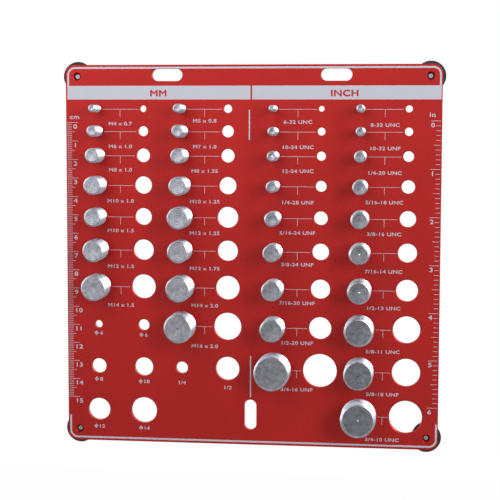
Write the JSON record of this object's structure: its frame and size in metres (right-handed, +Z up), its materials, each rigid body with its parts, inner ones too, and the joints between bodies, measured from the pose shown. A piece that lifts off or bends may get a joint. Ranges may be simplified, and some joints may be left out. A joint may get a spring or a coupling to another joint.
{
  "type": "nut and bolt thread checker",
  "caption": "Hanging board that gauges nuts on threaded studs and bolts in tapped holes, with plain rod holes, printed rulers and rubber feet.",
  "frame": {"origin": "midway between the two top hanging slots, on the front face of the board", "axes": "+X to the reader's right, +Y from the reader into the board, +Z up as it hangs"},
  "size_m": [0.205, 0.0223, 0.2083],
  "materials": {
    "anodised_board": "red anodised sheet, satin, with etched marks in pale grey",
    "stud_steel": "bright turned steel",
    "foot_rubber": "black moulded rubber",
    "washer_steel": "zinc-plated steel",
    "screw_steel": "zinc-plated steel"
  },
  "bodies": {
    "root": {"board": "anodised_board", "stud_m4x0_7": "stud_steel", "stud_m6x1_0": "stud_steel", "stud_m8x1_0": "stud_steel", "stud_m10x1_0": "stud_steel", "stud_m10x1_5": "stud_steel", "stud_m12x1_5": "stud_steel", "stud_m14x1_5": "stud_steel", "stud_m5x0_8": "stud_steel", "stud_m7x1_0": "stud_steel", "stud_m8x1_25": "stud_steel", "stud_m10x1_25": "stud_steel", "stud_m12x1_25": "stud_steel", "stud_m12x1_75": "stud_steel", "stud_m14x2_0": "stud_steel", "stud_m16x2_0": "stud_steel", "stud_no6_32": "stud_steel", "stud_no10_24": "stud_steel", "stud_no12_24": "stud_steel", "stud_in1_4_28": "stud_steel", "stud_in5_16_24": "stud_steel", "stud_in3_8_24": "stud_steel", "stud_in7_16_20": "stud_steel", "stud_in1_2_20": "stud_steel", "stud_in3_4_16": "stud_steel", "stud_no8_32": "stud_steel", "stud_no10_32": "stud_steel", "stud_in1_4_20": "stud_steel", "stud_in5_16_18": "stud_steel", "stud_in3_8_16": "stud_steel", "stud_in7_16_14": "stud_steel", "stud_in1_2_13": "stud_steel", "stud_in5_8_11": "stud_steel", "stud_in5_8_18": "stud_steel", "stud_in3_4_10": "stud_steel", "foot_top_left": "foot_rubber", "foot_top_right": "foot_rubber", "foot_bottom_left": "foot_rubber", "foot_bottom_right": "foot_rubber", "foot_washers": "washer_steel", "foot_screws": "screw_steel"}
  },
  "joints": []
}
